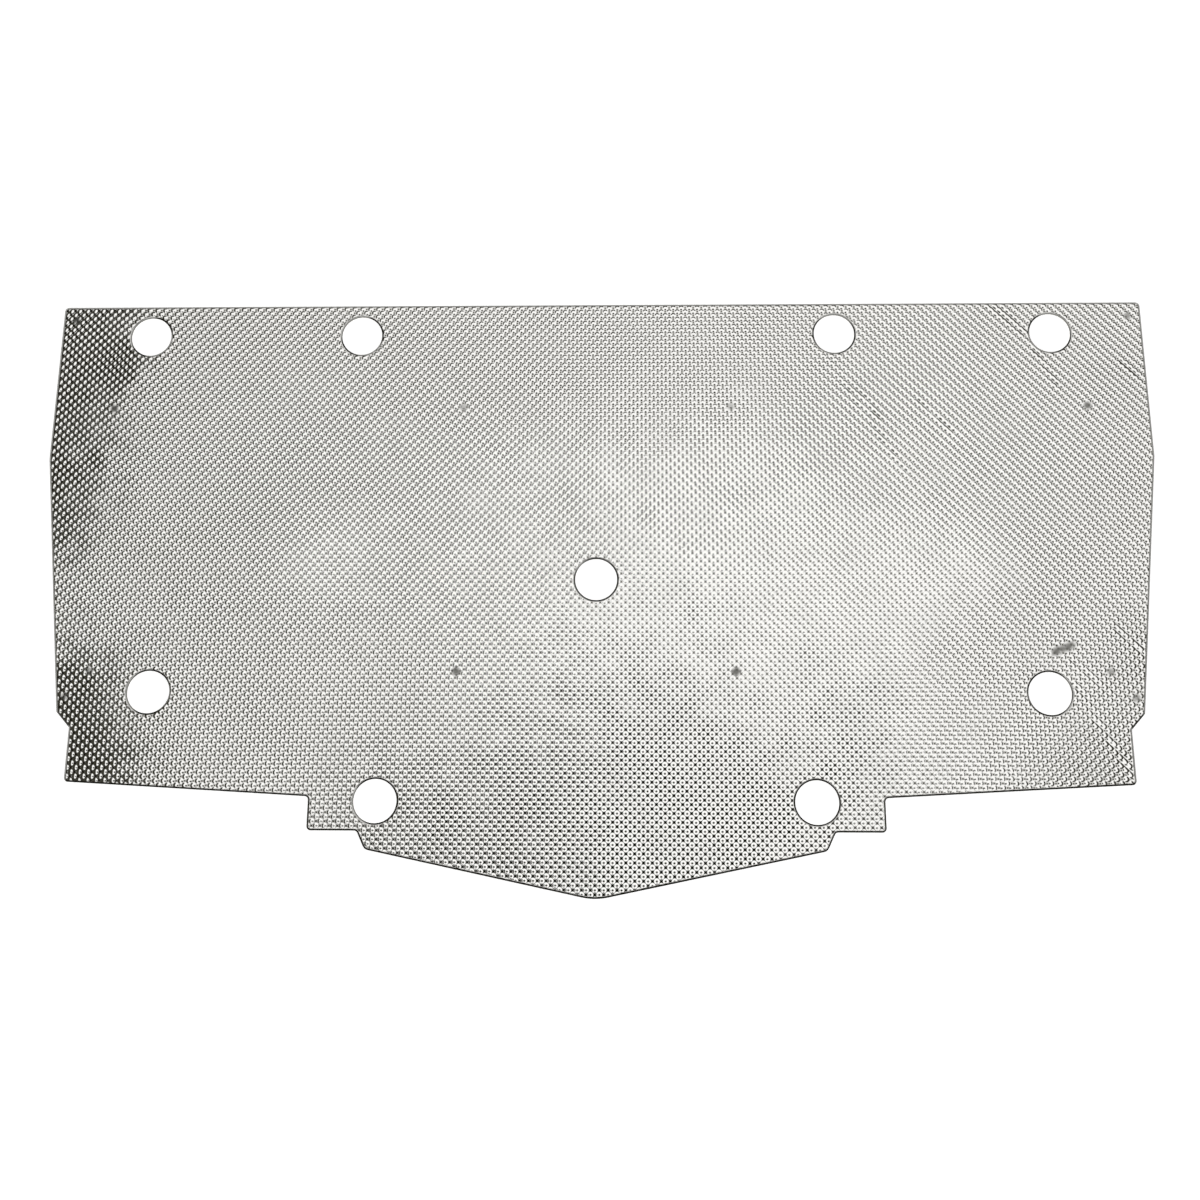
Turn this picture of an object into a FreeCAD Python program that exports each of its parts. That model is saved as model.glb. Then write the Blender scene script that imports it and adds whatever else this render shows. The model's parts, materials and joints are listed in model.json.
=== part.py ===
import FreeCAD, Part
import math
import os
import Sketcher

# A heat shield: one die-cut sheet of embossed aluminium that lies flat, patterned face up.
# X runs along its straight top edge, +Y points to that edge and the blunt nose points to -Y.
# The origin is in the middle of the sheet's outline, at the level of its lowest ridges.

doc = FreeCAD.newDocument("heat_shield")
sheet = doc.addObject("Spreadsheet::Sheet", "sizes")

# Driving dimensions in millimetres: name, value, what it measures
SIZES = [
    ("top_width", 808, "straight top edge, corner to corner"),
    ("side_height", 120, "upright stretch of each side, below the top corner"),
    ("taper_inset", 24, "how far each side leans in along its taper"),
    ("taper_height", 186, "height of the tapered stretch of each side"),
    ("relief_inset", 10, "width of the slanted relief under the taper"),
    ("relief_height", 11, "height of that relief"),
    ("skirt_height", 37.5, "upright stretch of each side, below the relief"),
    ("hem_fall", 9.5, "how far the lower edge falls from the side to the tongue"),
    ("tongue_width", 397, "width of the tongue below the lower edge"),
    ("tongue_height", 23, "height of the tongue's upright sides"),
    ("ledge_width", 34.5, "level ledge on each side of the nose"),
    ("shoulder_inset", 6, "how far the nose's shoulder leans in"),
    ("shoulder_height", 12.5, "height of that shoulder"),
    ("nose_height", 32, "height of the blunt nose, from its shoulders to its rounded tip"),
    ("nose_radius", 45, "tip of the nose"),
    ("corner_radius", 3, "outer corners of the top edge, the skirt and the tongue"),
    ("root_radius", 2.5, "inner corners at the tongue's root and under the ledge"),
    ("shoulder_radius", 5, "corner where the shoulder meets the nose"),
    ("hole_diameter", 30, "all nine punched holes"),
    ("top_row_drop", 24, "top row of holes, below the top edge"),
    ("top_outer_spacing", 672, "outer pair of the top row, centre to centre"),
    ("top_inner_spacing", 353, "inner pair of the top row, centre to centre"),
    ("centre_hole_drop", 211, "centre hole, below the top edge"),
    ("waist_hole_spacing", 632, "pair of holes at the waist, centre to centre"),
    ("waist_hole_rise", 14, "that pair, above the lower end of the taper"),
    ("tongue_hole_spacing", 304, "pair of holes at the tongue, centre to centre"),
    ("tongue_hole_rise", 20, "that pair, above the ledges"),
    ("sheet_gauge", 0.8, "thickness of the metal, measured upright"),
    ("emboss_depth", 0.7, "how far the embossing lifts the sheet"),
    ("dimple_pitch", 6, "embossed dimples, along X and along Y, in staggered rows"),
]
for row, (alias, millimetres, meaning) in enumerate(SIZES, start=1):
    sheet.set(f"A{row}", meaning)
    sheet.set(f"B{row}", str(millimetres))
    sheet.setAlias(f"B{row}", alias)
doc.recompute()


def total(*aliases):
    """The expression that adds up these sizes."""
    return "(" + " + ".join(f"sizes.{alias}" for alias in aliases) + ")"


def value(expression):
    """What an expression comes to, in millimetres."""
    return float(sheet.evalExpression(expression))


# Levels below the top edge, and half widths at them, that the outline and the holes share
WAIST_DROP = total("side_height", "taper_height")
SKIRT_DROP = total("side_height", "taper_height", "relief_height", "skirt_height")
HEM_DROP = f"({SKIRT_DROP} + sizes.hem_fall)"
LEDGE_DROP = f"({HEM_DROP} + sizes.tongue_height)"
SHOULDER_DROP = f"({LEDGE_DROP} + sizes.shoulder_height)"
DEPTH = f"({SHOULDER_DROP} + sizes.nose_height)"
TOP_HALF = "sizes.top_width / 2"
WAIST_HALF = f"({TOP_HALF} - sizes.taper_inset)"
SKIRT_HALF = f"({WAIST_HALF} - sizes.relief_inset)"
TONGUE_HALF = "sizes.tongue_width / 2"
LEDGE_HALF = f"({TONGUE_HALF} - sizes.ledge_width)"
NOSE_HALF = f"({LEDGE_HALF} - sizes.shoulder_inset)"
THICKNESS = total("sheet_gauge", "emboss_depth")

# Ids that a sketch gives its origin, its two axes, and the ends and centre of a curve
ORIGIN, LEVEL_AXIS, UPRIGHT_AXIS = -1, -1, -2
START, END, CENTRE = 1, 2, 3
MIDDLE = (ORIGIN, START)
UPWARDS = FreeCAD.Vector(0, 0, 1)


def origin_plane(body, role):
    return next(plane for plane in body.Origin.OriginFeatures if plane.Role == role)


def measure(sketch, kind, ends, expression):
    """Ties the distance between two points of a sketch, each a curve and its point, to an expression."""
    (first, first_point), (second, second_point) = ends
    distance = Sketcher.Constraint(
        kind, first, first_point, second, second_point, value(expression)
    )
    index = sketch.addConstraint(distance)
    sketch.setExpression(f"Constraints[{index}]", expression)


def measure_round(sketch, kind, curve, expression):
    """Ties a curve's Radius or Diameter to an expression."""
    index = sketch.addConstraint(Sketcher.Constraint(kind, curve, value(expression)))
    sketch.setExpression(f"Constraints[{index}]", expression)


def join(sketch, first, second):
    sketch.addConstraint(Sketcher.Constraint("Coincident", *first, *second))


def hold_on(sketch, point, axis):
    sketch.addConstraint(Sketcher.Constraint("PointOnObject", *point, axis))


# Die: a prism of the cut outline with its holes, standing one thickness past both faces of the sheet
die = doc.addObject("PartDesign::Body", "Die")
DIE_HEIGHT = f"3 * {THICKNESS}"


def die_sketch(name):
    """A sketch on the die's foot, with its own origin in the middle of the sheet's top edge."""
    sketch = die.newObject("Sketcher::SketchObject", name)
    sketch.AttachmentSupport = [(origin_plane(die, "XY_Plane"), "")]
    sketch.MapMode = "FlatFace"
    sketch.setExpression("AttachmentOffset.Base.y", f"{DEPTH} / 2")
    sketch.setExpression("AttachmentOffset.Base.z", f"-{THICKNESS}")
    return sketch


# The right half is drawn leg by leg from the middle of the top edge to the nose's shoulder.
# Each leg after the top edge runs inwards and downwards by these sizes.
outline = die_sketch("RightHalf")
LEGS = [
    ("0", "sizes.side_height"),
    ("sizes.taper_inset", "sizes.taper_height"),
    ("sizes.relief_inset", "sizes.relief_height"),
    ("0", "sizes.skirt_height"),
    (f"{SKIRT_HALF} - {TONGUE_HALF}", "sizes.hem_fall"),
    ("0", "sizes.tongue_height"),
    ("sizes.ledge_width", "0"),
    ("sizes.shoulder_inset", "sizes.shoulder_height"),
]
top_middle = FreeCAD.Vector(0, 0, 0)
point = FreeCAD.Vector(value(TOP_HALF), 0, 0)
leg = outline.addGeometry(Part.LineSegment(top_middle, point))
join(outline, (leg, START), MIDDLE)
outline.addConstraint(Sketcher.Constraint("Horizontal", leg))
measure(outline, "DistanceX", ((leg, START), (leg, END)), TOP_HALF)
for inwards, downwards in LEGS:
    end = point - FreeCAD.Vector(value(inwards), value(downwards), 0)
    leg = outline.addGeometry(Part.LineSegment(point, end))
    join(outline, (leg - 1, END), (leg, START))
    back = ((leg, END), (leg, START))
    if inwards == "0":
        outline.addConstraint(Sketcher.Constraint("Vertical", leg))
    else:
        measure(outline, "DistanceX", back, inwards)
    if downwards == "0":
        outline.addConstraint(Sketcher.Constraint("Horizontal", leg))
    else:
        measure(outline, "DistanceY", back, downwards)
    point = end

# The nose: a straight flank that runs smoothly into a round tip on the axis
tip = FreeCAD.Vector(0, -value(DEPTH), 0)
tip_centre = tip + FreeCAD.Vector(0, value("sizes.nose_radius"), 0)
to_shoulder = point - tip_centre
shoulder_angle = math.atan2(to_shoulder.y, to_shoulder.x)
meeting_angle = shoulder_angle - math.acos(value("sizes.nose_radius") / to_shoulder.Length)
tip_circle = Part.Circle(tip_centre, UPWARDS, value("sizes.nose_radius"))
tip_curve = Part.ArcOfCircle(tip_circle, -math.pi / 2, meeting_angle)
flank = outline.addGeometry(Part.LineSegment(point, tip_curve.EndPoint))
tip_arc = outline.addGeometry(tip_curve)
join(outline, (leg, END), (flank, START))
outline.addConstraint(Sketcher.Constraint("Tangent", flank, END, tip_arc, END))
hold_on(outline, (tip_arc, CENTRE), UPRIGHT_AXIS)
hold_on(outline, (tip_arc, START), UPRIGHT_AXIS)
measure_round(outline, "Radius", tip_arc, "sizes.nose_radius")
measure(outline, "DistanceY", ((tip_arc, START), (flank, START)), "sizes.nose_height")
axis_leg = outline.addGeometry(Part.LineSegment(tip, top_middle))
join(outline, (tip_arc, START), (axis_leg, START))
join(outline, (axis_leg, END), MIDDLE)

half = die.newObject("PartDesign::Pad", "HalfPrism")
half.Profile = outline
half.setExpression("Length", DIE_HEIGHT)
whole = die.newObject("PartDesign::Mirrored", "BothHalves")
whole.Originals = [half]
whole.MirrorPlane = (origin_plane(die, "YZ_Plane"), [""])
die.Tip = whole

# Nine punched holes: four pairs, each (half spacing, drop below the top edge), and one on the axis
HOLE_PAIRS = [
    ("sizes.top_outer_spacing / 2", "sizes.top_row_drop"),
    ("sizes.top_inner_spacing / 2", "sizes.top_row_drop"),
    ("sizes.waist_hole_spacing / 2", f"{WAIST_DROP} - sizes.waist_hole_rise"),
    ("sizes.tongue_hole_spacing / 2", f"{LEDGE_DROP} - sizes.tongue_hole_rise"),
]
holes = die_sketch("Holes")


def add_hole(side, half_spacing, drop):
    """The circle of one hole, on one side of the axis, 1 or -1, or on it, 0."""
    place = FreeCAD.Vector(side * value(half_spacing), -value(drop), 0)
    radius = value("sizes.hole_diameter") / 2
    circle = holes.addGeometry(Part.Circle(place, UPWARDS, radius))
    centre = (circle, CENTRE)
    measure_round(holes, "Diameter", circle, "sizes.hole_diameter")
    measure(holes, "DistanceY", (centre, MIDDLE), drop)
    if side == 0:
        hold_on(holes, centre, UPRIGHT_AXIS)
    else:
        ends = (MIDDLE, centre) if side > 0 else (centre, MIDDLE)
        measure(holes, "DistanceX", ends, half_spacing)


for half_spacing, drop in HOLE_PAIRS:
    add_hole(-1, half_spacing, drop)
    add_hole(1, half_spacing, drop)
add_hole(0, "0", "sizes.centre_hole_drop")
punched = die.newObject("PartDesign::Pocket", "PunchedHoles")
punched.Profile = holes
punched.Type = "ThroughAll"
punched.Reversed = True
doc.recompute()


def upright_edges(shape, corners):
    """Names of the edges that stand at these corners, each (half width, drop), on both sides of the axis."""
    top = value(DEPTH) / 2
    wanted = [(value(half_width), top - value(drop)) for half_width, drop in corners]
    close = 1e-3
    names = []
    for number, edge in enumerate(shape.Edges, start=1):
        first, last = edge.Vertexes[0].Point, edge.Vertexes[-1].Point
        upright = first.distanceToPoint(last) > close and first.distanceToLine(last, UPWARDS) < close
        placed = any(
            abs(abs(first.x) - x) < close and abs(first.y - y) < close for x, y in wanted
        )
        if upright and placed:
            names.append(f"Edge{number}")
    return names


def round_corners(name, radius, corners):
    """Rounds corners of the die, and adds the rounding to it as its latest feature."""
    base = die.Tip
    rounding = die.newObject("PartDesign::Fillet", name)
    rounding.Base = (base, upright_edges(base.Shape, corners))
    rounding.setExpression("Radius", radius)
    doc.recompute()


OUTER_CORNERS = [(TOP_HALF, "0"), (SKIRT_HALF, SKIRT_DROP), (TONGUE_HALF, LEDGE_DROP)]
INNER_CORNERS = [(TONGUE_HALF, HEM_DROP), (LEDGE_HALF, LEDGE_DROP)]
round_corners("OuterCorners", "sizes.corner_radius", OUTER_CORNERS)
round_corners("InnerCorners", "sizes.root_radius", INNER_CORNERS)
round_corners("Shoulders", "sizes.shoulder_radius", [(NOSE_HALF, SHOULDER_DROP)])

# Stock: the embossed sheet before it is cut. Its rows of dimples are straight ridges here, one for each
# diagonal row, and both faces follow them, so the sheet keeps one gauge throughout.
DIAGONAL = 45
ROW_PITCH = "(sizes.dimple_pitch / sqrt(2))"
STOCK_REACH = f"((sizes.top_width + {DEPTH}) / (2 * sqrt(2)))"
ROWS_EACH_WAY = f"ceil({STOCK_REACH} / {ROW_PITCH})"
FIRST_ROW = f"({ROWS_EACH_WAY} * {ROW_PITCH})"

stock = doc.addObject("PartDesign::Body", "Stock")
section = stock.newObject("Sketcher::SketchObject", "RidgeSection")
section.AttachmentSupport = [(origin_plane(stock, "XZ_Plane"), "")]
section.MapMode = "FlatFace"
turn = FreeCAD.Rotation(FreeCAD.Vector(0, 1, 0), DIAGONAL)
section.AttachmentOffset = FreeCAD.Placement(FreeCAD.Vector(0, 0, 0), turn)

# The first row's ridge in section: a chevron whose lower and upper lines are one gauge apart
crest = -value(FIRST_ROW)
run = value(ROW_PITCH) / 2
rise = value("sizes.emboss_depth")
gauge = value("sizes.sheet_gauge")
chevron = [
    FreeCAD.Vector(crest - run, 0, 0),
    FreeCAD.Vector(crest, rise, 0),
    FreeCAD.Vector(crest + run, 0, 0),
    FreeCAD.Vector(crest + run, gauge, 0),
    FreeCAD.Vector(crest, rise + gauge, 0),
    FreeCAD.Vector(crest - run, gauge, 0),
]
for number, corner in enumerate(chevron):
    section.addGeometry(Part.LineSegment(corner, chevron[(number + 1) % len(chevron)]))
for number in range(len(chevron)):
    join(section, (number, END), ((number + 1) % len(chevron), START))
LEFT_FOOT, LOWER_CREST, RIGHT_FOOT = (0, START), (1, START), (2, START)
RIGHT_TOP, UPPER_CREST, LEFT_TOP = (3, START), (4, START), (5, START)
measure(section, "DistanceX", (LOWER_CREST, MIDDLE), FIRST_ROW)
measure(section, "DistanceX", (LEFT_FOOT, LOWER_CREST), f"{ROW_PITCH} / 2")
measure(section, "DistanceX", (LOWER_CREST, RIGHT_FOOT), f"{ROW_PITCH} / 2")
measure(section, "DistanceY", (LEFT_FOOT, LOWER_CREST), "sizes.emboss_depth")
hold_on(section, LEFT_FOOT, LEVEL_AXIS)
hold_on(section, RIGHT_FOOT, LEVEL_AXIS)
for lower, upper in ((LEFT_FOOT, LEFT_TOP), (LOWER_CREST, UPPER_CREST), (RIGHT_FOOT, RIGHT_TOP)):
    section.addConstraint(Sketcher.Constraint("Vertical", *lower, *upper))
    measure(section, "DistanceY", (lower, upper), "sizes.sheet_gauge")

ridge = stock.newObject("PartDesign::Pad", "Ridge")
ridge.Profile = section
ridge.Midplane = True
ridge.setExpression("Length", f"2 * {STOCK_REACH} + {ROW_PITCH}")
doc.recompute()

rows = stock.newObject("PartDesign::LinearPattern", "Rows")
rows.Originals = [ridge]
rows.Direction = (section, ["H_Axis"])
rows.Mode = "Spacing"
rows.setExpression("Offset", ROW_PITCH)
rows.setExpression("Occurrences", f"2 * {ROWS_EACH_WAY} + 1")
stock.Tip = rows
doc.recompute()

# The shield: the embossed stock cut to the die's outline
shield = doc.addObject("Part::Common", "Shield")
shield.Base = stock
shield.Tool = die
shield.Label = "heat_shield"
doc.recompute()

# Nothing is written unless every object is sound, the holes were cut and the sheet has its full area
for item in doc.Objects:
    if "Invalid" in item.State or "Error" in item.State:
        raise RuntimeError(f"{item.Label} failed: {item.State}")
if shield.Shape.isNull() or not shield.Shape.isValid() or len(shield.Shape.Solids) != 1:
    raise RuntimeError("the shield isn't one valid solid")


def check_volume(name, found, expected):
    if not math.isclose(found, expected, rel_tol=1e-4):
        raise RuntimeError(f"{name}: volume {found:.1f}, expected {expected:.1f}")


hole_area = math.pi * value("sizes.hole_diameter") ** 2 / 4
hole_volume = (2 * len(HOLE_PAIRS) + 1) * hole_area * value(DIE_HEIGHT)
check_volume("holes", whole.Shape.Volume - punched.Shape.Volume, hole_volume)
sheet_area = die.Shape.Volume / value(DIE_HEIGHT)
check_volume("shield", shield.Shape.Volume, sheet_area * value("sizes.sheet_gauge"))

os.makedirs("parts", exist_ok=True)
shield.Shape.exportStep(f"parts/{shield.Label}.step")
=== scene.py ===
import json
import math

import bpy
import numpy as np
from mathutils import Matrix, Vector, geometry


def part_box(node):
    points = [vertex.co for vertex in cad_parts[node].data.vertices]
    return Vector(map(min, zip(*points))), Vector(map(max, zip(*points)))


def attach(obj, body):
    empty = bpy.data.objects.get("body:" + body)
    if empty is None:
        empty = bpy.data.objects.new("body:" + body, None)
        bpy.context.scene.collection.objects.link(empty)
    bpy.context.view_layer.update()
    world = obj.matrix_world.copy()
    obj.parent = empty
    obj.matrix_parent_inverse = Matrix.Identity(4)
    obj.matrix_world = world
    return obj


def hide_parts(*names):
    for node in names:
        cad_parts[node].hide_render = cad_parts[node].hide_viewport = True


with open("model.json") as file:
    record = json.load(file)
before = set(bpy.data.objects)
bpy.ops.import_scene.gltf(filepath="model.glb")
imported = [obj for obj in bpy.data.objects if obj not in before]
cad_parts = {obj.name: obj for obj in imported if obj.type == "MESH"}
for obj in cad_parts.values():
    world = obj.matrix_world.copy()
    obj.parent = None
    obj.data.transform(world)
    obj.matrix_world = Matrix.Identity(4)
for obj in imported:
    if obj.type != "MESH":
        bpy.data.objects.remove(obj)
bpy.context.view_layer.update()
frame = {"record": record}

# The shield: one thin sheet of soft aluminium, rolled between embossing rolls that raise staggered
# round dimples, then die-cut to its outline with nine punched holes. The cutting die presses a narrow
# rim down along every cut edge. It is fixed by nothing here and lies flat, patterned face up.

# All lengths of the sheet are in millimetres, and its mesh is in metres
MM_PER_METRE = 1000
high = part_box("heat_shield")[1] * MM_PER_METRE
TOP = high.y

# Right half of the outline from the top corner to the nose: half width, drop below the top edge, radius
HALF_OUTLINE = [
    (high.x, 0, 3),
    (high.x, 120, 0),
    (380, 306, 0),
    (370, 317, 0),
    (370, 354.5, 3),
    (198.5, 364, 2.5),
    (198.5, 387, 3),
    (164, 387, 2.5),
    (158, 399.5, 5),
]
NOSE_TIP = (0, 432.45, 45)
ARC_STEP = 1.0
LEAST_ARC_STEPS = 4


def rounded_outline(corners):
    """The bends of a closed outline whose corners, each (x, y, radius), run anticlockwise."""
    bends = []
    for number, (x, y, radius) in enumerate(corners):
        corner = np.array((x, y))
        if radius == 0:
            bends.append(corner)
            continue
        before = np.array(corners[number - 1][:2]) - corner
        after = np.array(corners[(number + 1) % len(corners)][:2]) - corner
        before /= np.linalg.norm(before)
        after /= np.linalg.norm(after)
        half_angle = math.acos(before @ after) / 2
        inwards = (before + after) / np.linalg.norm(before + after)
        centre = corner + inwards * radius / math.sin(half_angle)
        turn = math.pi - 2 * half_angle
        left_turn = before[0] * after[1] - before[1] * after[0] < 0
        outwards = math.atan2(-inwards[1], -inwards[0])
        steps = max(LEAST_ARC_STEPS, math.ceil(turn * radius / ARC_STEP))
        for step in range(steps + 1):
            swing = turn * (step / steps - 0.5) * (1 if left_turn else -1)
            angle = outwards + swing
            bends.append(centre + radius * np.array((math.cos(angle), math.sin(angle))))
    return np.array(bends)


right = [(x, TOP - drop, radius) for x, drop, radius in HALF_OUTLINE]
tip = (NOSE_TIP[0], TOP - NOSE_TIP[1], NOSE_TIP[2])
left = [(-x, y, radius) for x, y, radius in right]
outline = rounded_outline(left + [tip] + right[::-1])

# The holes, all of one radius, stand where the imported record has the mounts
hole_centres = []
for mount in frame["record"]["mounts"]:
    x, y = (MM_PER_METRE * value for value in mount["pos_m"][:2])
    half_spacing = mount["dims"].get("spacing_x_mm", 0) / 2
    hole_radius = mount["dims"].get("hole_r_mm") or mount["dims"]["r_mm"]
    sides = (-half_spacing, half_spacing) if half_spacing else (0,)
    hole_centres += [np.array((x + side, y)) for side in sides]


def inside_of(points, edges):
    """Whether each point lies inside what these edges, each a start and an end, close off."""
    inside = np.zeros(len(points), bool)
    for start, end in edges:
        rise = end[1] - start[1]
        if rise:
            spans = (start[1] > points[:, 1]) != (end[1] > points[:, 1])
            crossing = start[0] + (points[:, 1] - start[1]) * (end[0] - start[0]) / rise
            inside ^= spans & (points[:, 0] < crossing)
    return inside


def distance_to(points, start, end):
    """How far each point lies from the straight line between two places, which may be one."""
    along = np.subtract(end, start)
    length_squared = along @ along
    away = points - start
    if length_squared:
        away = away - np.clip(away @ along / length_squared, 0, 1)[:, None] * along
    return np.hypot(away[:, 0], away[:, 1])


def depth_inside(points):
    """How far each point lies inside the cut edges; negative outside them."""
    outline_edges = np.stack((outline, np.roll(outline, -1, axis=0)), axis=1)
    nearest = np.min([distance_to(points, start, end) for start, end in outline_edges], axis=0)
    depth = np.where(inside_of(points, outline_edges), nearest, -nearest)
    for centre in hole_centres:
        depth = np.minimum(depth, distance_to(points, centre, centre) - hole_radius)
    return depth


# Dimples stand on a staggered lattice, each row half a pitch along from the next. Each is a crown with four
# points at the foot of its flank, along X and Y. Neighbours along the diagonals meet in a sharp valley, and
# a small flat pit is left between each four.
DIMPLE_PITCH = 6.0
HALF_PITCH = DIMPLE_PITCH / 2
FLANK_REACH = 2.2
GAUGE = 0.8
DIMPLE_RISE = high.z - GAUGE
FLANK_RISE = 0.05
FLANK_SLOPE = 0.3
RIM_WIDTH = 1.7
CLEAR_OF_RIM = 0.2

FLANKS = np.array([(FLANK_REACH, 0), (0, FLANK_REACH), (-FLANK_REACH, 0), (0, -FLANK_REACH)])
CROWN, EAST, NORTH, WEST, SOUTH = range(5)
lattice_reach = math.ceil((high.x + high.y) / DIMPLE_PITCH) + 1
steps = np.arange(-lattice_reach, lattice_reach + 1)
up_right, down_right = np.meshgrid(steps, steps, indexing="ij")
crowns = HALF_PITCH * np.stack((up_right + down_right, up_right - down_right), axis=-1)
lattice = np.concatenate((crowns[:, :, None], crowns[:, :, None] + FLANKS), axis=2)
lattice_depth = depth_inside(lattice.reshape(-1, 2)).reshape(lattice.shape[:3])
kept = lattice_depth > RIM_WIDTH + CLEAR_OF_RIM
index = np.where(kept, np.cumsum(kept).reshape(kept.shape) - 1, -1)
lattice_points = lattice[kept]

# Each dimple, the next one up its rising row, the next one down its falling row, and the one beyond both
here = (slice(0, -1), slice(0, -1))
above = (slice(1, None), slice(0, -1))
below = (slice(0, -1), slice(1, None))
beyond = (slice(1, None), slice(1, None))


def faces_of(*corners):
    """Faces whose corners, each a neighbour and its point, are all kept."""
    found = np.stack([index[neighbour][..., point] for neighbour, point in corners], axis=-1)
    return found.reshape(-1, len(corners))[(found >= 0).all(axis=-1).ravel()]


whole_dimples = index[(index >= 0).all(axis=-1)]
QUARTERS = [(EAST, NORTH), (NORTH, WEST), (WEST, SOUTH), (SOUTH, EAST)]
domes = np.concatenate([whole_dimples[:, [CROWN, first, second]] for first, second in QUARTERS])
pits = faces_of((here, EAST), (below, NORTH), (beyond, WEST), (above, SOUTH))
rising_saddles = faces_of((here, EAST), (above, SOUTH), (above, WEST), (here, NORTH))
falling_saddles = faces_of((here, EAST), (here, SOUTH), (below, WEST), (below, NORTH))
lands = np.concatenate((pits, rising_saddles, falling_saddles))


def edges_of(faces):
    """Every side of faces that have as many corners, each as its two ends."""
    sides = faces.shape[1]
    return np.concatenate([faces[:, [side, (side + 1) % sides]] for side in range(sides)])


every_edge = np.sort(np.concatenate((edges_of(domes), edges_of(lands))), axis=1)
edge, uses = np.unique(every_edge, axis=0, return_counts=True)
fringe = edge[uses == 1]


def divided(loop, spacing):
    """The points of a closed loop, with more on its long straight runs."""
    points = []
    for start, end in zip(loop, np.roll(loop, -1, axis=0)):
        parts = max(1, math.ceil(np.linalg.norm(end - start) / spacing))
        points += [start + (end - start) * part / parts for part in range(parts)]
    return np.array(points)


# Cut edges: the outline runs anticlockwise and the holes clockwise, with metal on the left of both
EDGE_SPACING = 2.0
HOLE_SIDES = 60
cut_loops = [divided(outline, EDGE_SPACING)]
for centre in hole_centres:
    angle = -2 * math.pi * np.arange(HOLE_SIDES) / HOLE_SIDES
    cut_loops.append(centre + hole_radius * np.stack((np.cos(angle), np.sin(angle)), axis=-1))


def left_of(loop):
    """The direction into the metal at each point of a loop, longer at a corner."""
    ahead = np.roll(loop, -1, axis=0) - loop
    ahead /= np.linalg.norm(ahead, axis=1, keepdims=True)
    behind = np.roll(ahead, 1, axis=0)
    both = ahead + behind
    both /= np.linalg.norm(both, axis=1, keepdims=True)
    inwards = np.stack((-both[:, 1], both[:, 0]), axis=-1)
    return inwards / (both * ahead).sum(axis=1)[:, None]


# The pressed rim in section, from the cut edge inwards: distance, height, slope down to the edge, painted
# shade
RIM_SECTION = [
    (0, 0.45, 0.6, 1.0),
    (1.0, 0.76, 0.5, 0.6),
    (RIM_WIDTH, GAUGE + FLANK_RISE, 0.2, 0.0),
]
rim_points, rim_heights, rim_slopes, rim_edge_shade, rim_rings = [], [], [], [], []
start = len(lattice_points)
for loop in cut_loops:
    inwards = left_of(loop)
    rings = []
    for distance, height, slope, edge_shade in RIM_SECTION:
        rim_points.append(loop + distance * inwards)
        rim_heights.append(np.full(len(loop), height))
        rim_slopes.append(slope * inwards)
        rim_edge_shade.append(np.full(len(loop), edge_shade))
        rings.append(start + np.arange(len(loop)))
        start += len(loop)
    rim_rings.append(rings)


def strip(ring, next_ring):
    """The faces between two rings of as many points, with the second on the left of the first."""
    return np.stack((ring, np.roll(ring, -1), np.roll(next_ring, -1), next_ring), axis=-1)


def ring_edges(rings):
    """Every side of closed rings, each as its two ends."""
    return np.concatenate([np.stack((ring, np.roll(ring, -1)), axis=-1) for ring in rings])


SAME_PLACE = 1e-6


def fill_between(points, chosen, edges, borders):
    """Triangles through the chosen points and edges, where they lie inside the border edges."""
    place = np.full(len(points), -1)
    place[chosen] = np.arange(len(chosen))
    triangles_everywhere = 0
    result = geometry.delaunay_2d_cdt(
        [Vector(point) for point in points[chosen]],
        place[edges].tolist(),
        [],
        triangles_everywhere,
        SAME_PLACE,
    )
    faces, origins = np.array(result[2]), np.array([origin[0] for origin in result[3]])
    triangles = chosen[origins[faces]]
    centroids = points[triangles].mean(axis=1)
    return triangles[inside_of(centroids, points[borders])]


# The margin joins the whole dimples and what is left of cut ones to the rims
rims = np.concatenate([strip(*pair) for rings in rim_rings for pair in zip(rings, rings[1:])])
front_points = np.concatenate([lattice_points] + rim_points)
inner_rings = [rings[-1] for rings in rim_rings]
border = np.concatenate((fringe, ring_edges(inner_rings)))
joined = np.unique(np.concatenate((domes.ravel(), lands.ravel())))
loose = np.setdiff1d(np.arange(len(lattice_points)), joined)
chosen = np.concatenate((np.unique(border), loose))
margin = fill_between(front_points, chosen, border, border)

# Small round stake marks that press the dimples flat: half spacing, drop below the top edge, strength
STAKE_MARKS = [
    (394, 11, 0.7),
    (375, 295, 0.6),
    (359, 81, 0.9),
    (98.5, 81, 0.5),
    (359, 277, 0.6),
    (98.5, 277, 0.9),
]
STAKE_RADIUS, STAKE_REACH = 1.0, 4.4

# Creases of handling, which draw the dimples out along the falling rows: start, end, half width
CREASES = [
    ((172, 175), (207.5, 127), 1.5),
    ((179, 158), (223.5, 85), 1.5),
    ((233, 142.5), (258.5, 114.5), 1.0),
    ((295.5, 213), (322, 187.5), 4.0),
    ((322, 186), (338, 149), 2.0),
    ((387.5, 168.5), (403.5, 151), 1.0),
    ((333, -55), (357.5, -75), 2.5),
    ((335, -72), (358, -117), 2.0),
    ((358, -117), (368, -132.5), 2.0),
    ((367, -31), (387, -48.5), 3.0),
    ((281, -127.5), (294.5, -139.5), 1.5),
]
SCRATCH = ((321.5, -47), (333.5, -42.5), 1.2)
FALLING_ROW = np.array((1, -1)) / math.sqrt(2)


def eased(share):
    """A share held between 0 and 1 that leaves both ends gently."""
    share = np.clip(share, 0, 1)
    return share * share * (3 - 2 * share)


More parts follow.
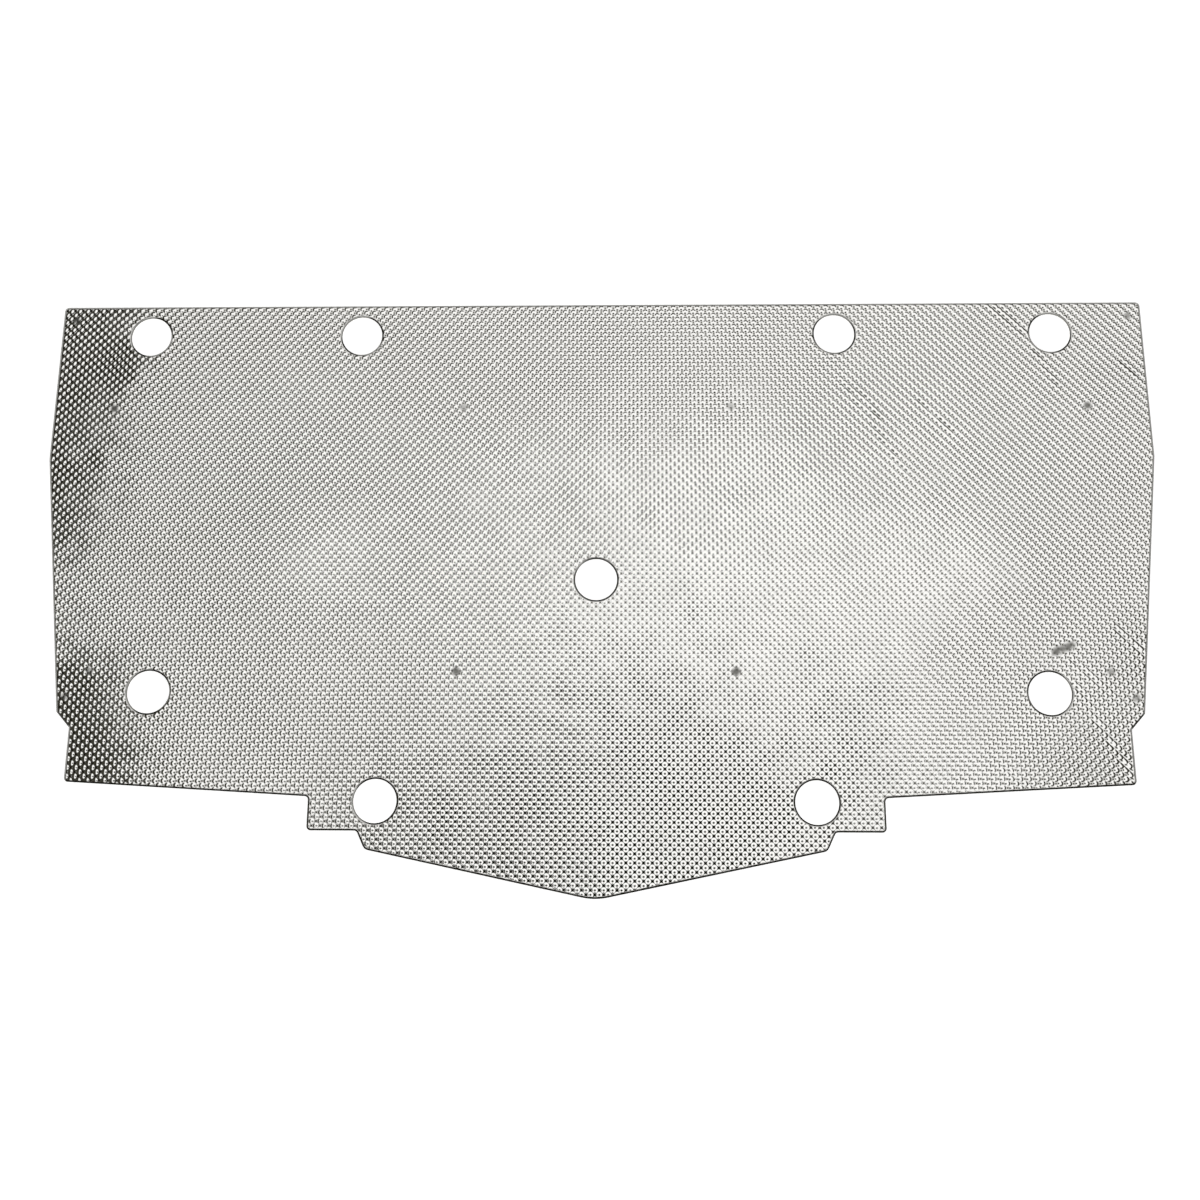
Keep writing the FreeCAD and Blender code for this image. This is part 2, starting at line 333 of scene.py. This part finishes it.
# Heights and slopes of the patterned face. Dimples are lower beside a rim, and a mark presses them flat.
FADE_DEPTH = 2.8
MARK_FADE = 2.5
PRESSED_FLAT = 0.8
CREASED_CROWN_LOSS = 0.3
CREASED_FOOT_GAIN = 2
CREASED_SLOPE_LOSS = 0.8
kind = np.nonzero(kept)[2]
fade = eased((lattice_depth[kept] - RIM_WIDTH) / (FADE_DEPTH - RIM_WIDTH))
pressed = np.zeros(len(lattice_points))
for half_spacing, drop, strength in STAKE_MARKS:
    for x in (-half_spacing, half_spacing):
        away = distance_to(lattice_points, (x, TOP - drop), (x, TOP - drop))
        share = eased((STAKE_REACH - away) / (STAKE_REACH - STAKE_RADIUS))
        pressed = np.maximum(pressed, strength * share)
creased = np.zeros(len(lattice_points))
for start, end, half_width in CREASES:
    away = distance_to(lattice_points, start, end)
    creased = np.maximum(creased, eased((half_width + MARK_FADE - away) / MARK_FADE))
away = distance_to(lattice_points, *SCRATCH[:2])
scratched = eased((SCRATCH[2] + MARK_FADE - away) / MARK_FADE)
fade = fade * (1 - PRESSED_FLAT * np.maximum(pressed, scratched))
crown_rise = DIMPLE_RISE * (1 - CREASED_CROWN_LOSS * creased)
foot_rise = FLANK_RISE * (1 + CREASED_FOOT_GAIN * creased)
rise = np.where(kind == CROWN, crown_rise, foot_rise)
lattice_heights = GAUGE + FLANK_RISE + (rise - FLANK_RISE) * fade
outward = np.concatenate((np.zeros((1, 2)), FLANKS / FLANK_REACH))[kind]
lattice_slopes = -FLANK_SLOPE * outward * fade[:, None]
lost = CREASED_SLOPE_LOSS * creased * (lattice_slopes @ FALLING_ROW)
lattice_slopes -= lost[:, None] * FALLING_ROW
front_heights = np.concatenate([lattice_heights] + rim_heights)
front_slopes = np.concatenate([lattice_slopes] + rim_slopes)

# The back: flat along the cut edges, with the hollow of each diagonal row of dimples as one groove
GROOVE_DEPTH = 0.4
GROOVE_SAMPLE = 1.5
groove_ends, groove_heights, groove_edges = [], [], []
along = np.arange(-high.x - high.y, high.x + high.y, GROOVE_SAMPLE) / math.sqrt(2)
for half_row in range(-2 * lattice_reach, 2 * lattice_reach + 1):
    middle = half_row * HALF_PITCH / 2
    line = np.stack((middle + along, middle - along), axis=-1)
    clear = depth_inside(line) > RIM_WIDTH + CLEAR_OF_RIM
    changes = np.flatnonzero(np.diff(np.concatenate(([False], clear, [False])).astype(int)))
    for first, last in zip(changes[::2], changes[1::2] - 1):
        if last > first:
            groove_edges.append((len(groove_ends), len(groove_ends) + 1))
            groove_ends += [line[first], line[last]]
            groove_heights += [GROOVE_DEPTH * (half_row % 2 == 0)] * 2
outer_rings = [rings[0] for rings in rim_rings]
outer_points = front_points[np.concatenate(outer_rings)]
inner_points = front_points[np.concatenate(inner_rings)]
back_points = np.concatenate((np.array(groove_ends), outer_points, inner_points))
back_heights = np.zeros(len(back_points))
back_heights[: len(groove_ends)] = groove_heights
back_rings = []
start = len(groove_ends)
for loop in cut_loops:
    outer = start + np.arange(len(loop))
    back_rings.append((outer, outer + len(outer_points)))
    start += len(loop)
back_border = ring_edges([inner for outer, inner in back_rings])
back_edges = np.concatenate((np.array(groove_edges), back_border))
back_fill = fill_between(back_points, np.unique(back_edges), back_edges, back_border)[:, ::-1]
back_rims = np.concatenate([strip(outer, inner) for outer, inner in back_rings])[:, ::-1]
first_back = len(front_points)
walls = [strip(first_back + outer, ring) for (outer, inner), ring in zip(back_rings, outer_rings)]

points = np.concatenate((front_points, back_points))
heights = np.concatenate((front_heights, back_heights))
vertices = np.column_stack((points, heights)) / MM_PER_METRE
front_faces = [domes, lands, rims, margin]
other_faces = walls + [back_rims + first_back, back_fill + first_back]
face_lists = [face for faces in front_faces + other_faces for face in faces.tolist()]
mesh = bpy.data.meshes.new("heat_shield_sheet")
mesh.from_pydata(vertices.tolist(), [], face_lists)
mesh.shade_smooth()

# Each point of the patterned face takes the slope of the true dimple there, so the domes come out round.
# Pits, whose faces follow those of the domes, stay flat.
corner_points = np.zeros(len(mesh.loops), int)
mesh.loops.foreach_get("vertex_index", corner_points)
face_normals = np.zeros(len(mesh.polygons) * 3)
mesh.polygons.foreach_get("normal", face_normals)
corner_counts = np.zeros(len(mesh.polygons), int)
mesh.polygons.foreach_get("loop_total", corner_counts)
corner_normals = np.repeat(face_normals.reshape(-1, 3), corner_counts, axis=0)
on_front = np.arange(len(mesh.polygons)) < sum(len(faces) for faces in front_faces)
on_front = np.repeat(on_front, corner_counts)
front_normals = np.column_stack((-front_slopes, np.ones(len(front_slopes))))
front_normals /= np.linalg.norm(front_normals, axis=1, keepdims=True)
corner_normals[on_front] = front_normals[corner_points[on_front]]
first_pit = domes.size
corner_normals[first_pit : first_pit + pits.size] = (0, 0, 1)
mesh.normals_split_custom_set(corner_normals.tolist())

# What the material asks of each point: whether it has the pattern, how far marks changed it, and its painted
# edge shade
embossed = np.zeros(len(front_points))
embossed[: len(lattice_points)] = 1
embossed[np.concatenate(inner_rings)] = 1
# Painted shade along the cut edges, strongest at the edge itself
painted_edge_shade = np.concatenate([np.zeros(len(lattice_points))] + rim_edge_shade)
shares = {"embossed": embossed, "creased": creased, "scratched": scratched, "painted_edge_shade": painted_edge_shade}
for name, values in shares.items():
    everywhere = np.zeros(len(vertices))
    everywhere[: len(values)] = values
    mesh.attributes.new(name, "FLOAT", "POINT").data.foreach_set("value", everywhere)

# Handling left the sheet leaning a little in places. That shows in what it mirrors, so it is in the normal
# alone and the mesh stays flat: middle of each bend, its radius, how far it leans in X and Y.
BENDS = [
    ((-404, 216), 120, (-0.12, 0.06)),
    ((-410, 80), 110, (-0.09, 0.01)),
    ((-390, -130), 140, (-0.15, -0.05)),
    ((350, -135), 125, (0.13, -0.10)),
    ((-360, 172), 26, (-0.10, 0.05)),
    ((-190, 20), 60, (0.05, 0.0)),
    ((0, 190), 60, (0.0, 0.05)),
    ((250, 20), 80, (-0.05, -0.02)),
    ((385, -50), 50, (0.10, -0.04)),
]
lean = np.zeros((len(vertices), 3))
for middle, radius, slope in BENDS:
    share = eased(1 - distance_to(points, middle, middle) / radius)
    lean[:, :2] += share[:, None] * np.array(slope)
mesh.attributes.new("lean", "FLOAT_VECTOR", "POINT").data.foreach_set("vector", lean.ravel())
sheet = bpy.data.objects.new("embossed_sheet", mesh)
bpy.context.scene.collection.objects.link(sheet)


def linear(hex_colour):
    """An sRGB hex colour as linear red, green, blue and alpha."""
    channels = [int(hex_colour[first : first + 2], 16) / 255 for first in (1, 3, 5)]
    return [each / 12.92 if each <= 0.04045 else ((each + 0.055) / 1.055) ** 2.4 for each in channels] + [1]


def add_node(tree, kind, inputs, output=0, **settings):
    """One output of a new node, made with its settings, its sockets set to values or linked from others.

    Sockets go by name, or by number where a node has several of one name.
    """
    made = tree.nodes.new(kind)
    for name, setting in settings.items():
        setattr(made, name, setting)
    for socket, source in inputs.items():
        if isinstance(source, bpy.types.NodeSocket):
            tree.links.new(source, made.inputs[socket])
        else:
            made.inputs[socket].default_value = source
    return made.outputs[output]


# Sockets of a mix node, which has its two inputs and its output once for each kind of value
VECTOR_A, VECTOR_B, VECTOR_OUT = 4, 5, 1
COLOUR_A, COLOUR_B, COLOUR_OUT = 6, 7, 2

# Soft aluminium with the bright finish of polished rolls. The eye gets near-mirror domes, painted shade in
# the pits, which on the real sheet mirror their own walls, grey spots where stakes and a scratch bruised it,
# painted shade along the cut edges, and a slow unevenness all over.
ALUMINIUM = "#fdfcf9"
# Grey painted into the pits as their shade
PAINTED_PIT_SHADE = "#66645b"
BRUISED = "#6f6e69"
# Grey painted along the cut edges as their shade
PAINTED_EDGE_SHADE = "#56554f"
finish = bpy.data.materials.new("rolled_aluminium_with_painted_shade")
finish.use_nodes = True
tree = finish.node_tree
shader = tree.nodes["Principled BSDF"]
place = add_node(tree, "ShaderNodeTexCoord", {}, "Object")
on_pattern = add_node(tree, "ShaderNodeAttribute", {}, "Fac", attribute_name="embossed")
creases = add_node(tree, "ShaderNodeAttribute", {}, "Fac", attribute_name="creased")
# A crease comes and goes along its length, over about two dimples
CREASE_BREAK = 10
BREAK_START, BREAK_FULL = 0.35, 0.6
breaks = add_node(tree, "ShaderNodeTexNoise", {"Vector": place, "Scale": MM_PER_METRE / CREASE_BREAK})
breaks = add_node(
    tree, "ShaderNodeMapRange", {"Value": breaks, "From Min": BREAK_START, "From Max": BREAK_FULL}
)
drawn_out = add_node(tree, "ShaderNodeMath", {0: creases, 1: breaks}, operation="MULTIPLY")

# Bruises of the scratch and of the stake marks, which are the same on both sides of the middle
SCRATCH_STRENGTH = 0.9
scraped = add_node(tree, "ShaderNodeAttribute", {}, "Fac", attribute_name="scratched")
bruise = add_node(tree, "ShaderNodeMath", {0: scraped, 1: SCRATCH_STRENGTH}, operation="MULTIPLY")
apart = add_node(tree, "ShaderNodeSeparateXYZ", {"Vector": place}).node
from_middle = add_node(tree, "ShaderNodeMath", {0: apart.outputs["X"]}, operation="ABSOLUTE")
folded = add_node(tree, "ShaderNodeCombineXYZ", {"X": from_middle, "Y": apart.outputs["Y"]})
for half_spacing, drop, strength in STAKE_MARKS:
    middle = (half_spacing / MM_PER_METRE, (TOP - drop) / MM_PER_METRE, 0)
    away = add_node(tree, "ShaderNodeVectorMath", {0: folded, 1: middle}, "Value", operation="DISTANCE")
    spot = add_node(
        tree,
        "ShaderNodeMapRange",
        {
            "Value": away,
            "From Min": STAKE_RADIUS / MM_PER_METRE,
            "From Max": STAKE_REACH / MM_PER_METRE,
            "To Min": strength,
            "To Max": 0.0,
        },
        interpolation_type="SMOOTHSTEP",
    )
    bruise = add_node(tree, "ShaderNodeMath", {0: bruise, 1: spot}, operation="MAXIMUM")

# How far a point lies from the crown of its dimple, in millimetres along the rising and the falling rows.
# A crease draws the dimples out along the falling row.
ROW_PITCH = DIMPLE_PITCH / math.sqrt(2)
ROW_ANGLE = math.pi / 4
DRAWING = 0.65
rows_per_metre = MM_PER_METRE / ROW_PITCH
rows = add_node(
    tree,
    "ShaderNodeMapping",
    {"Vector": place, "Rotation": (0, 0, -ROW_ANGLE), "Scale": (rows_per_metre, rows_per_metre, 0)},
)
cell = add_node(
    tree, "ShaderNodeVectorMath", {0: rows, 1: (0.5, 0.5, 0.5), 2: (-0.5, -0.5, -0.5)}, operation="WRAP"
)
falling_length = add_node(
    tree, "ShaderNodeMath", {0: drawn_out, 1: -DRAWING * ROW_PITCH, 2: ROW_PITCH}, operation="MULTIPLY_ADD"
)
lengths = add_node(tree, "ShaderNodeCombineXYZ", {"X": ROW_PITCH, "Y": falling_length})
from_crown = add_node(tree, "ShaderNodeVectorMath", {0: cell, 1: lengths}, operation="MULTIPLY")
distance = add_node(tree, "ShaderNodeVectorMath", {0: from_crown}, "Value", operation="LENGTH")

# Each dome has a small flat top, an even flank and a sharp foot, rounder than the mesh has points for
TOP_START, TOP_END = 0.25, 1.3
FOOT_START, FOOT_END = 1.85, 2.12
off_top = add_node(
    tree,
    "ShaderNodeMapRange",
    {"Value": distance, "From Min": TOP_START, "From Max": TOP_END, "To Min": 0.0, "To Max": FLANK_SLOPE},
    interpolation_type="SMOOTHSTEP",
)
steepness = add_node(
    tree,
    "ShaderNodeMapRange",
    {"Value": distance, "From Min": FOOT_START, "From Max": FOOT_END, "To Min": off_top, "To Max": 0.0},
    interpolation_type="SMOOTHSTEP",
)
unpressed = add_node(tree, "ShaderNodeMath", {0: bruise, 1: -PRESSED_FLAT, 2: 1.0}, operation="MULTIPLY_ADD")
steepness = add_node(tree, "ShaderNodeMath", {0: steepness, 1: unpressed}, operation="MULTIPLY")
outwards = add_node(tree, "ShaderNodeVectorMath", {0: from_crown}, operation="NORMALIZE")
row_tilt = add_node(tree, "ShaderNodeVectorMath", {0: outwards, "Scale": steepness}, operation="SCALE")
tilt = add_node(
    tree, "ShaderNodeVectorRotate", {"Vector": row_tilt, "Angle": ROW_ANGLE}, rotation_type="Z_AXIS"
)
bent = add_node(tree, "ShaderNodeAttribute", {}, "Vector", attribute_name="lean")
tilt = add_node(tree, "ShaderNodeVectorMath", {0: tilt, 1: bent}, operation="ADD")
# Waves of the whole sheet a hand's breadth long, and the small lean of each dimple: length, lean
WAVES = [(90, 0.11), (14, 0.09)]
for length, most_lean in WAVES:
    noise = add_node(
        tree, "ShaderNodeTexNoise", {"Vector": place, "Scale": MM_PER_METRE / length, "Detail": 1.0}, "Color"
    )
    level = (-most_lean / 2, -most_lean / 2, 0)
    wave = add_node(
        tree,
        "ShaderNodeVectorMath",
        {0: noise, 1: (most_lean, most_lean, 0), 2: level},
        operation="MULTIPLY_ADD",
    )
    tilt = add_node(tree, "ShaderNodeVectorMath", {0: tilt, 1: wave}, operation="ADD")
upright = add_node(tree, "ShaderNodeVectorMath", {0: tilt, 1: (0, 0, 1)}, operation="ADD")
upright = add_node(tree, "ShaderNodeVectorMath", {0: upright}, operation="NORMALIZE")
upright = add_node(
    tree,
    "ShaderNodeVectorTransform",
    {"Vector": upright},
    vector_type="NORMAL",
    convert_from="OBJECT",
    convert_to="WORLD",
)
mesh_normal = add_node(tree, "ShaderNodeNewGeometry", {}, "Normal")
facing_out = add_node(
    tree,
    "ShaderNodeMix",
    {"Factor": on_pattern, VECTOR_A: mesh_normal, VECTOR_B: upright},
    VECTOR_OUT,
    data_type="VECTOR",
)
facing_out = add_node(tree, "ShaderNodeVectorMath", {0: facing_out}, operation="NORMALIZE")
tree.links.new(facing_out, shader.inputs["Normal"])

# Colour: bright metal with painted shade down in the pits, which on the real sheet mirror their own walls
PIT_SHADE_START, PIT_SHADE_FULL = 1.95, 2.7
pit_shade_share = add_node(
    tree,
    "ShaderNodeMapRange",
    {"Value": distance, "From Min": PIT_SHADE_START, "From Max": PIT_SHADE_FULL, "To Min": 0.0, "To Max": on_pattern},
    interpolation_type="SMOOTHSTEP",
)
colour = add_node(
    tree,
    "ShaderNodeMix",
    {"Factor": pit_shade_share, COLOUR_A: linear(ALUMINIUM), COLOUR_B: linear(PAINTED_PIT_SHADE)},
    COLOUR_OUT,
    data_type="RGBA",
)
# Grain of the rolls along X, truly about 0.1 mm wide and drawn at 0.8 mm so that it shows
GRAIN_WIDTH = 0.8
GRAIN_WIDTH_TO_LENGTH = 0.02
GRAIN_LOW, GRAIN_HIGH = 0.3, 0.7
GRAIN_DARKEST = 0.97
along = add_node(
    tree, "ShaderNodeVectorMath", {0: place, 1: (GRAIN_WIDTH_TO_LENGTH, 1, 1)}, operation="MULTIPLY"
)
grain = add_node(
    tree, "ShaderNodeTexNoise", {"Vector": along, "Scale": MM_PER_METRE / GRAIN_WIDTH, "Detail": 1.0}
)
grain = add_node(
    tree,
    "ShaderNodeMapRange",
    {"Value": grain, "From Min": GRAIN_LOW, "From Max": GRAIN_HIGH, "To Min": GRAIN_DARKEST, "To Max": 1.0},
)
colour = add_node(
    tree,
    "ShaderNodeMix",
    {"Factor": 1.0, COLOUR_A: colour, COLOUR_B: grain},
    COLOUR_OUT,
    data_type="RGBA",
    blend_type="MULTIPLY",
)
# Painted shade darkens the metal along the cut edges; grey spots mark the bruises
edge_shade_share = add_node(tree, "ShaderNodeAttribute", {}, "Fac", attribute_name="painted_edge_shade")
for share, grey in ((bruise, BRUISED), (edge_shade_share, PAINTED_EDGE_SHADE)):
    colour = add_node(
        tree,
        "ShaderNodeMix",
        {"Factor": share, COLOUR_A: colour, COLOUR_B: linear(grey)},
        COLOUR_OUT,
        data_type="RGBA",
    )
tree.links.new(colour, shader.inputs["Base Color"])
shader.inputs["Metallic"].default_value = 1
# Patches dulled by handling, about two fingers wide
PATCH_WIDTH = 35
PATCH_LOW, PATCH_HIGH = 0.35, 0.65
BRIGHT_ROUGHNESS, DULL_ROUGHNESS = 0.09, 0.17
BRUISE_ROUGHNESS = 0.25
patches = add_node(
    tree, "ShaderNodeTexNoise", {"Vector": place, "Scale": MM_PER_METRE / PATCH_WIDTH, "Detail": 3.0}
)
roughness = add_node(
    tree,
    "ShaderNodeMapRange",
    {
        "Value": patches,
        "From Min": PATCH_LOW,
        "From Max": PATCH_HIGH,
        "To Min": BRIGHT_ROUGHNESS,
        "To Max": DULL_ROUGHNESS,
    },
)
roughness = add_node(
    tree, "ShaderNodeMath", {0: bruise, 1: BRUISE_ROUGHNESS, 2: roughness}, operation="MULTIPLY_ADD"
)
tree.links.new(roughness, shader.inputs["Roughness"])
sheet.data.materials.append(finish)
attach(sheet, "root")
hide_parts("heat_shield")

# The floor: plain white studio paper, spread flat, on which the sheet lies unfixed. It is matt, and it gives
# the eye an even pale ground with only the thin shadow of the sheet. Lengths from here on are in metres.
FLOOR_HALF = 6.0
FLOOR_DROP = 0.0002
PAPER = "#f2f2f2"
PAPER_ROUGHNESS = 0.9
PAPER_GLOW = 0.64
WHITE = "#ffffff"
floor_mesh = bpy.data.meshes.new("studio_floor")
corners = [(-1, -1), (1, -1), (1, 1), (-1, 1)]
floor_points = [(FLOOR_HALF * x, FLOOR_HALF * y, -FLOOR_DROP) for x, y in corners]
floor_mesh.from_pydata(floor_points, [], [(0, 1, 2, 3)])
floor = bpy.data.objects.new("studio_floor", floor_mesh)
bpy.context.scene.collection.objects.link(floor)
paper = bpy.data.materials.new("white_studio_paper")
paper.use_nodes = True
tree = paper.node_tree
shader = tree.nodes["Principled BSDF"]
shader.inputs["Base Color"].default_value = linear(PAPER)
shader.inputs["Roughness"].default_value = PAPER_ROUGHNESS
shader.inputs["Emission Color"].default_value = linear(WHITE)
path = add_node(tree, "ShaderNodeLightPath", {}).node
seen = add_node(
    tree,
    "ShaderNodeMath",
    {0: path.outputs["Is Camera Ray"], 1: path.outputs["Is Glossy Ray"]},
    operation="MAXIMUM",
)
glow = add_node(tree, "ShaderNodeMath", {0: seen, 1: PAPER_GLOW}, operation="MULTIPLY")
tree.links.new(glow, shader.inputs["Emission Strength"])
floor_mesh.materials.append(paper)

# The light: a large white softbox overhead among dark walls, with a dark gap where the camera stands, and a
# white paper backdrop all round its foot. The metal shows them all in its reflections.
world = bpy.data.worlds.new("white_studio")
bpy.context.scene.world = world
world.use_nodes = True
tree = world.node_tree
background = tree.nodes["Background"]
direction = add_node(tree, "ShaderNodeTexCoord", {}, "Generated")
upwards = add_node(tree, "ShaderNodeSeparateXYZ", {"Vector": direction}, "Z")
LOWEST = 0.05
height = add_node(tree, "ShaderNodeMath", {0: upwards, 1: LOWEST}, operation="MAXIMUM")
shrink = add_node(tree, "ShaderNodeMath", {0: 1.0, 1: height}, operation="DIVIDE")
overhead = add_node(tree, "ShaderNodeVectorMath", {0: direction, "Scale": shrink}, operation="SCALE")

# The dark gap at the camera, in metres for each metre that the softbox hangs above the sheet: its middle,
# half its depth where it is dark and where it ends, and how much wider than deep it is
GAP_MIDDLE = (0.02, -0.11)
GAP_DARK, GAP_END = 0.16, 0.31
GAP_STRETCH = 1.3
squeezed = add_node(
    tree, "ShaderNodeVectorMath", {0: overhead, 1: (1 / GAP_STRETCH, 1, 0)}, operation="MULTIPLY"
)
middle = (GAP_MIDDLE[0] / GAP_STRETCH, GAP_MIDDLE[1], 0)
away = add_node(tree, "ShaderNodeVectorMath", {0: squeezed, 1: middle}, "Value", operation="DISTANCE")
light = add_node(
    tree,
    "ShaderNodeMapRange",
    {"Value": away, "From Min": GAP_DARK, "From Max": GAP_END},
    interpolation_type="SMOOTHSTEP",
)
# Edges of the softbox, a rectangle with its two far corners cut off, in the same measure: the direction
# inwards, then how far along it the light starts and is full
SOFTBOX_EDGES = [
    ((1, 0, 0), -0.72, -0.60),
    ((-1, 0, 0), -1.20, -1.05),
    ((0, 1, 0), -0.80, -0.70),
    ((0, -1, 0), -1.28, -1.13),
    ((1, -1, 0), -1.45, -1.30),
    ((-1, -1, 0), -1.75, -1.60),
]
for inwards, start, full in SOFTBOX_EDGES:
    inside = add_node(
        tree, "ShaderNodeVectorMath", {0: overhead, 1: inwards}, "Value", operation="DOT_PRODUCT"
    )
    edge_light = add_node(
        tree,
        "ShaderNodeMapRange",
        {"Value": inside, "From Min": start, "From Max": full},
        interpolation_type="SMOOTHSTEP",
    )
    light = add_node(tree, "ShaderNodeMath", {0: light, 1: edge_light}, operation="MULTIPLY")
# The backdrop, by how high it stands above the floor, and the white that the camera sees behind everything
BACKDROP_FULL, BACKDROP_GONE = math.radians(8), math.radians(16)
backdrop = add_node(
    tree,
    "ShaderNodeMapRange",
    {"Value": upwards, "From Min": math.sin(BACKDROP_GONE), "From Max": math.sin(BACKDROP_FULL)},
    interpolation_type="SMOOTHSTEP",
)
light = add_node(tree, "ShaderNodeMath", {0: light, 1: backdrop}, operation="MAXIMUM")
behind = add_node(tree, "ShaderNodeLightPath", {}, "Is Camera Ray")
light = add_node(tree, "ShaderNodeMath", {0: light, 1: behind}, operation="MAXIMUM")
DARK_WALL = "#36352d"
tone = add_node(
    tree,
    "ShaderNodeMix",
    {"Factor": light, COLOUR_A: linear(DARK_WALL), COLOUR_B: linear(WHITE)},
    COLOUR_OUT,
    data_type="RGBA",
)
tree.links.new(tone, background.inputs["Color"])
background.inputs["Strength"].default_value = 1.0

# The camera: it stands over the sheet, a little towards the nose, as in the photograph. Its place and lens
# put the outline and the holes where the photograph has them.
TILT, YAW = math.radians(10.8), math.radians(1.05)
AIM = Vector((0.00284, -0.01035, 0.0015))
DISTANCE = 0.7446
SENSOR_MM, LENS_MM = 36, 31.41
camera_data = bpy.data.cameras.new("camera")
camera_data.sensor_width = SENSOR_MM
camera_data.lens = LENS_MM
camera = bpy.data.objects.new("camera", camera_data)
bpy.context.scene.collection.objects.link(camera)
turned = Matrix.Rotation(TILT, 4, "X") @ Matrix.Rotation(YAW, 4, "Y")
camera.matrix_world = Matrix.Translation(AIM + turned @ Vector((0, 0, DISTANCE))) @ turned
bpy.context.scene.camera = camera
bpy.context.scene.view_settings.view_transform = "Standard"
